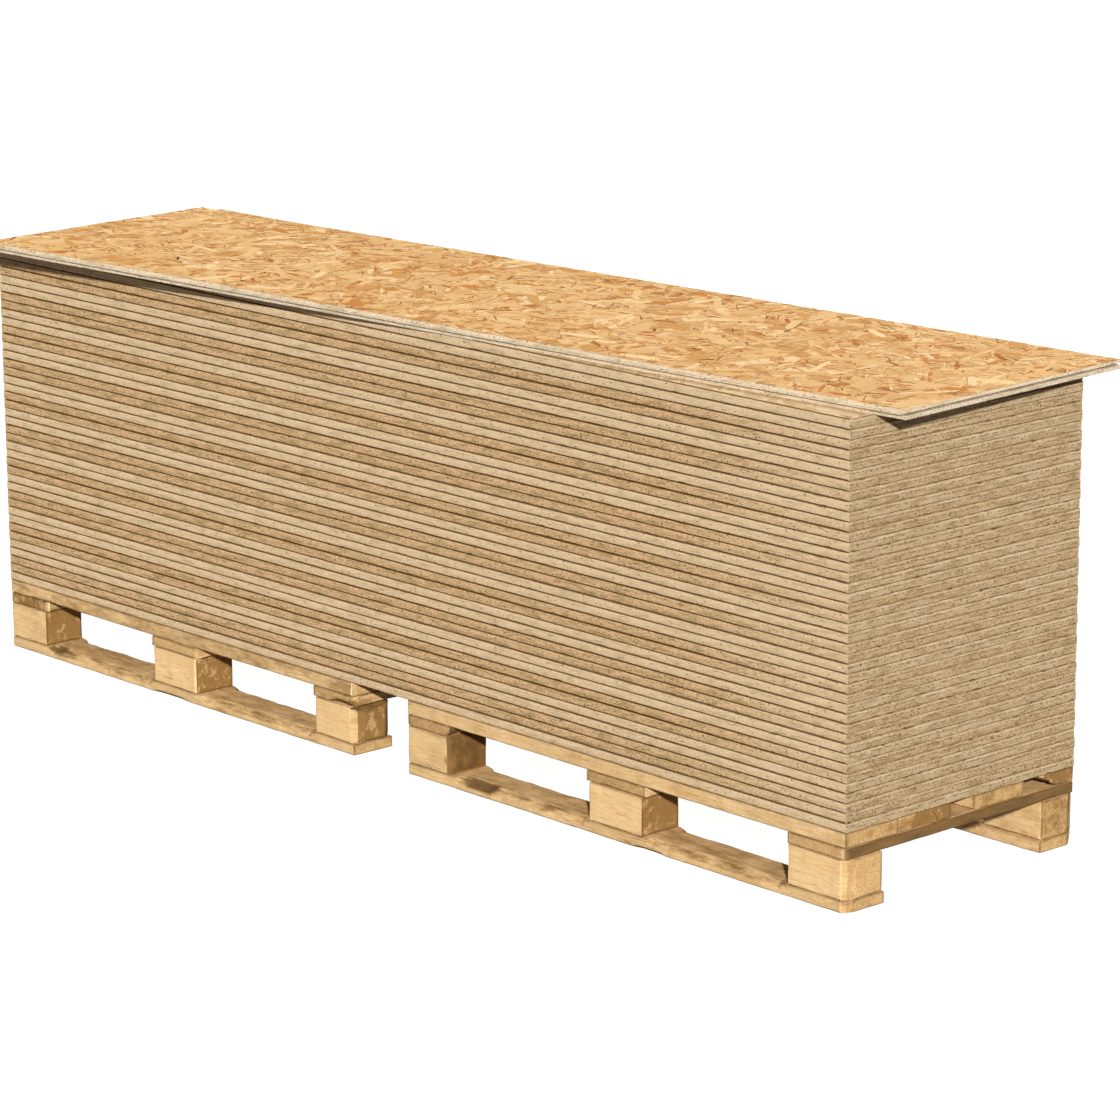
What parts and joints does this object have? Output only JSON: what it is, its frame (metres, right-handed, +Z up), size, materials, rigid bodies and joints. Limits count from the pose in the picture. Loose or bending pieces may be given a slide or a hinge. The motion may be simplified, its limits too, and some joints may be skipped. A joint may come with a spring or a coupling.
{
  "type": "stack of osb panels",
  "caption": "Stack of oriented strand board panels lying flat on two block pallets, with one loose tongue-and-groove panel on top.",
  "frame": {"origin": "on the floor, under the middle of the whole object's box", "axes": "+X along the panels towards the end that the loose panel overhangs, +Y across the panels towards the back, +Z up"},
  "size_m": [2.571, 0.753, 0.906],
  "materials": {
    "osb_panel": "sawn oriented strand board, pale tan edges with dark voids, unsealed and matt",
    "loose_osb_panel": "oriented strand board face of long golden, cream and reddish-brown strands with a faint resin sheen",
    "pallet_wood": "rough-sawn pine, yellow, with knots, wane and brown stains"
  },
  "bodies": {
    "root": {"left_pallet_runner_front": "pallet_wood", "left_pallet_runner_back": "pallet_wood", "right_pallet_runner_front": "pallet_wood", "right_pallet_runner_back": "pallet_wood", "left_pallet_blocks_left": "pallet_wood", "left_pallet_blocks_middle": "pallet_wood", "left_pallet_blocks_right": "pallet_wood", "right_pallet_blocks_left": "pallet_wood", "right_pallet_blocks_middle": "pallet_wood", "right_pallet_blocks_right": "pallet_wood", "left_pallet_cross_board_left": "pallet_wood", "left_pallet_cross_board_middle": "pallet_wood", "left_pallet_cross_board_right": "pallet_wood", "right_pallet_cross_board_left": "pallet_wood", "right_pallet_cross_board_middle": "pallet_wood", "right_pallet_cross_board_right": "pallet_wood", "left_pallet_deck_boards": "pallet_wood", "right_pallet_deck_boards": "pallet_wood", "panel_01": "osb_panel", "panel_02": "osb_panel", "panel_03": "osb_panel", "panel_04": "osb_panel", "panel_05": "osb_panel", "panel_06": "osb_panel", "panel_07": "osb_panel", "panel_08": "osb_panel", "panel_09": "osb_panel", "panel_10": "osb_panel", "panel_11": "osb_panel", "panel_12": "osb_panel", "panel_13": "osb_panel", "panel_14": "osb_panel", "panel_15": "osb_panel", "panel_16": "osb_panel", "panel_17": "osb_panel", "panel_18": "osb_panel", "panel_19": "osb_panel", "panel_20": "osb_panel", "panel_21": "osb_panel", "panel_22": "osb_panel", "panel_23": "osb_panel", "panel_24": "osb_panel", "panel_25": "osb_panel", "panel_26": "osb_panel", "panel_27": "osb_panel", "panel_28": "osb_panel", "panel_29": "osb_panel", "panel_30": "osb_panel", "panel_31": "osb_panel", "panel_32": "osb_panel", "panel_33": "osb_panel", "panel_34": "osb_panel", "panel_35": "osb_panel", "panel_36": "osb_panel", "panel_37": "osb_panel", "panel_38": "osb_panel", "panel_39": "osb_panel", "panel_40": "osb_panel", "panel_41": "osb_panel", "loose_panel": "loose_osb_panel"}
  },
  "joints": []
}
